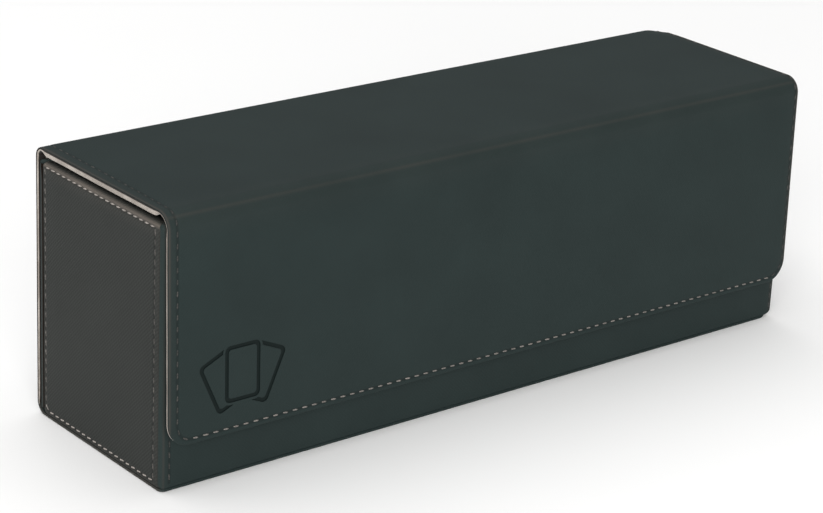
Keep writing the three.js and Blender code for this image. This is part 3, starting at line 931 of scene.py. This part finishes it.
def build_end_panel(name, side):
    """A padded panel on one end of the box, over the rim and mitred there against the wall leather."""
    route = rim_route(END, end_lining_low.x, panel_low.z, RIM_RADIUS)
    low, high = panel_low.y, panel_high.y
    rim_low, rim_high = front_lining_high.y + 0.05 * MM, rear_lining_low.y - 0.05 * MM
    mitre_from = route.marks["rim"] + 0.5 * MM
    base = wall_place(route, side * END, side, along_x=False)

    def place(v, s, depth):
        share = np.clip((s - mitre_from) / (route.length - mitre_from), 0, 1)
        left, right = low + (rim_low - low) * share, high + (rim_high - high) * share
        return base(left + (v - low) / (high - low) * (right - left), s, depth)

    front, back = low + PANEL_FRONT, high - PANEL_BACK
    foot = PANEL_FOOT
    top = route.marks["rim"] + RIM_RADIUS - PANEL_TOP
    heel, rise = 3.0 * MM, 0.4 * MM
    arc = [math.radians(a) for a in range(0, 91, 15)]
    heel_arc = [(back - heel + heel * math.sin(a), foot + heel - heel * math.cos(a)) for a in arc]
    # The third value of each point is painted glint: the level rows along the foot and top are painted pale,
    # as if they caught the overhead light, and the upright rows stay dark.
    rows = [
        [(front, top, 0.1), (front, foot, 0.1)],
        [(front, foot, 1.0), (heel_arc[0][0], foot, 1.0), *((v, s, 0.5) for v, s in heel_arc[1:])],
        [(back, heel + foot, 0.2), (back, top + rise, 0.2)],
        [(back, top + rise, 0.9), (front, top, 0.9)],
    ]

    vs = spread(low, high, 5 * MM)
    near_foot = EDGE_INSETS[EDGE_INSETS < 9 * MM]
    near_top = [top + i * 0.3 * MM for i in range(-5, 6)]
    upward = route.stations(near_foot[-1], route.length, 5 * MM, 10)
    ss = thinned(sorted([*near_foot, *near_top, *upward]), 0.08 * MM)
    corners = [(True, False, PANEL_HEEL_RADIUS)]
    if side > 0:
        corners.append((False, False, PANEL_TOE_RADIUS))
    sheet = Sheet(vs, ss, (True, True, True, False), place, corners)
    v, s = sheet.v, sheet.s
    sheet.row = distance_to(rows, v, s)
    # Painted highlight along the crest of the rim, where the lid's shadow falls; the other edges get only a
    # faint one.
    rim_crest = route.marks["rim"] + 1.0 * MM
    sheet.highlight_and_wear = np.minimum(sheet.inset + 1.2 * MM, 0.65 * np.abs(rim_crest - s) + 0.35 * MM)
    fall = np.maximum.reduce(
        [
            bullnose(v - low, 2.6 * MM, 0.8 * MM),
            bullnose(high - v, 1.2 * MM, 0.7 * MM),
            bullnose(s, 1.0 * MM, 0.7 * MM),
            bullnose(route.length - s, 0.5 * MM, 0.5 * MM),
        ]
    )
    plump = ease(sheet.row, 0.8 * MM, 7 * MM) * ease(sheet.inset, 2 * MM, 9 * MM)
    pad = (0.1 * MM * ripple(v, s, 30 * MM, 2.2) - 0.12 * MM) * plump
    outer = fall + sewn_groove(sheet, depth=0.25 * MM) + pad
    inner = np.maximum(PANEL_THICKNESS - bullnose(sheet.inset, 0.5 * MM, 0.4 * MM), outer + 0.05 * MM)
    panel = sheet.build(f"end_panel_leather_{name}", outer, inner, [PANEL_LEATHER], mirror=-side)
    sunk, slant = 0.28 * MM, 8.0 * side
    stitches = stitch_rows(f"end_panel_stitches_{name}", place, rows, PANEL_PITCH, sunk, slant, duty=0.7)
    return panel, stitches


def build_wall_leather(name, face, side, rim_end, foot, corner_return, radius, sewn):
    """Leatherette on the front or back wall, over the rim, with a return round each end corner."""
    route = rim_route(face, rim_end, foot, radius)
    base = wall_place(route, face, side, along_x=True)
    mitre_from = route.marks["top"] - 0.2 * MM
    narrow = end_lining_low.x / END

    def place(v, s, depth):
        share = np.clip((s - mitre_from) / (route.length - mitre_from), 0, 1)
        return base(v * (1 + (narrow - 1) * share), s, depth)

    low, high = 2.2 * MM, route.marks["rim"] - 2 * MM
    sides = (WALL_LEFT_ROW - END, END - WALL_RIGHT_ROW) if sewn else ()
    rows = [[(v, low, 0.0), (v, high, 0.0)] for v in sides]
    near_foot = EDGE_INSETS[EDGE_INSETS < 7 * MM]
    upward = route.stations(near_foot[-1], route.length, 6 * MM, 10)
    ss = thinned(sorted([*near_foot, *upward]), 0.05 * MM)
    corners = []
    if sewn:
        corners = [(False, False, WALL_LEFT_FOOT_RADIUS), (True, False, WALL_RIGHT_FOOT_RADIUS)]
    sheet = Sheet(spread(-END, END, 8 * MM), ss, (True, True, True, False), place, corners)
    ends = END - np.abs(sheet.v)
    sheet.row = distance_to(rows, sheet.v, sheet.s)
    # Painted highlight along each end corner, centred 1.4 mm in from the end.
    corner = 1.4 * MM
    sheet.highlight_and_wear = np.abs(ends - corner) + 0.5 * MM
    outer = np.maximum(bullnose(ends, corner, corner), bullnose(sheet.inset, 0.6 * MM, 0.5 * MM))
    outer = outer + 0.05 * MM * ripple(sheet.v, sheet.s, 60 * MM, 6.4) * ease(sheet.inset, 0, 5 * MM)
    outer = outer + sewn_groove(sheet, depth=0.14 * MM)
    on_face = ease(route.marks["rim"] - sheet.s, 0, 1.5 * MM)
    inner = SKIN + (corner_return - SKIN) * (1 - ease(ends, 1.4 * MM, 1.7 * MM)) * on_face
    inner = np.maximum(inner, outer + 0.08 * MM)
    return sheet.build(name, outer, inner, [BOX_LEATHER]), place, rows


def build_box():
    for name, side in (("left", -1), ("right", 1)):
        panel, stitches = build_end_panel(name, side)
        for piece in (panel, stitches):
            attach(piece, "case")
        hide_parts(f"end_panel_{name}")
    walls = {
        "front_wall": (FRONT, -1, front_lining_high.y, front_low.z, 1.75 * MM, RIM_RADIUS, True),
        "back_wall": (rear_high.y, 1, rear_lining_low.y, rear_low.z, 2.4 * MM, 1.2 * MM, False),
    }
    for name, settings in walls.items():
        leather, place, rows = build_wall_leather(f"{name}_leather", *settings)
        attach(leather, "case")
        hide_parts(f"{name}_skin")
        if rows:
            stitches = stitch_rows(f"{name}_stitches", place, rows, COVER_PITCH, 0.24 * MM)
            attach(stitches, "case")


def build_cover():
    rear, front = build_cover_leather()
    press_mark(front)
    lining_rear, lining_front = build_cover_lining()
    stitches_rear, stitches_front = build_cover_stitches()
    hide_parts("cover_back_skin", "lid_skin")
    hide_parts("lid_skin", "flap_skin")
    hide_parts("cover_back_lining", "lid_lining")
    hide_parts("lid_lining", "flap_lining")
    for piece, name in (
        (rear, "cover_leatherette"),
        (lining_rear, "cover_microfibre"),
        (stitches_rear, "cover_leatherette"),
    ):
        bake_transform(piece)
    for piece, name in (
        (front, "cover_leatherette"),
        (lining_front, "cover_microfibre"),
        (stitches_front, "cover_leatherette"),
    ):
        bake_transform(piece)


# ---- CAD nodes that stay ----------------------------------------------------------------------------


def dress(node, material, bevel):
    """Gives a carried-over CAD node its material, and softens its edges."""
    piece = frame["nodes"][node]
    piece.data.materials.clear()
    piece.data.materials.append(material)
    modifier = piece.modifiers.new("soft_edges", "BEVEL")
    modifier.width = bevel
    modifier.segments = 2
    modifier.limit_method = "ANGLE"
    modifier.angle_limit = math.radians(40)


def dress_nodes():
    for node in frame["nodes"]:
        if node.endswith("_board") or node.startswith("end_board") or node == "floor_board":
            dress(node, BOARD, 0.1 * MM)
        elif "magnet" in node:
            dress(node, MAGNET, 0.12 * MM)
        elif node.startswith("divider"):
            dress(node, PLASTIC, 0.3 * MM)
        elif "lining" in node:
            dress(node, BOX_FIBRE, 0.2 * MM)


# ---- Stage, light and camera ------------------------------------------------------------------------


def build_stage():
    floor_mesh = bmesh.new()
    bmesh.ops.create_grid(floor_mesh, x_segments=1, y_segments=1, size=6)
    floor = finish_mesh("floor", floor_mesh, [])
    shader = Shader("pale_floor")
    place = shader.node("ShaderNodeTexCoord").outputs["Object"]
    cloud = shader.noise(place, 3.0, 2.0)
    floor.data.materials.append(
        shader.set(
            Base_Color=shader.mix(cloud, (0.96, 0.96, 0.96, 1), (0.98, 0.98, 0.98, 1)),
            Roughness=0.9,
            Specular_IOR_Level=0.1,
        )
    )


def area_light(name, place, aim, size, power, tint=(1, 1, 1)):
    light = bpy.data.lights.new(name, "AREA")
    light.shape = "RECTANGLE"
    light.size, light.size_y = size
    light.energy = power
    light.color = tint
    lamp = bpy.data.objects.new(name, light)
    lamp.location = place
    lamp.rotation_mode = "QUATERNION"
    lamp.rotation_quaternion = (Vector(aim) - Vector(place)).to_track_quat("-Z", "Y")
    bpy.context.scene.collection.objects.link(lamp)


def build_lights():
    middle = (0, 0, TOP / 2)
    area_light("overhead", (-0.2, 0.6, 3.0), middle, size=(4.0, 4.0), power=61)
    area_light("front_left", (-2.2, -2.5, 1.3), middle, size=(2.6, 2.0), power=108, tint=(1.0, 0.99, 0.97))
    world = bpy.data.worlds.new("studio")
    world.use_nodes = True
    background = world.node_tree.nodes["Background"]
    background.inputs["Color"].default_value = (1, 1, 1, 1)
    background.inputs["Strength"].default_value = 0.42
    bpy.context.scene.world = world


def build_camera():
    """A long lens, from the front left and above, with a slight roll."""
    azimuth, elevation, roll = (math.radians(a) for a in (-39.48, 21.05, 2.74))
    distance, aim = 1.0158, Vector((-0.01075, 0.0009, 0.0470))
    back = Vector(
        (
            math.sin(azimuth) * math.cos(elevation),
            -math.cos(azimuth) * math.cos(elevation),
            math.sin(elevation),
        )
    )
    level = (-back).cross(Vector((0, 0, 1))).normalized()
    above = level.cross(-back)
    right = math.cos(roll) * level + math.sin(roll) * above
    up = -math.sin(roll) * level + math.cos(roll) * above
    data = bpy.data.cameras.new("camera")
    data.sensor_width = 36.0
    data.lens = 114.94
    data.clip_start, data.clip_end = 0.01, 50
    camera = bpy.data.objects.new("camera", data)
    turn = Matrix((right, up, back)).transposed().to_4x4()
    camera.matrix_world = Matrix.Translation(aim + back * distance) @ turn
    bpy.context.scene.collection.objects.link(camera)
    bpy.context.scene.camera = camera


build_camera()
build_cover()
build_box()
dress_nodes()
build_stage()
build_lights()
bpy.context.scene.view_settings.view_transform = "Standard"
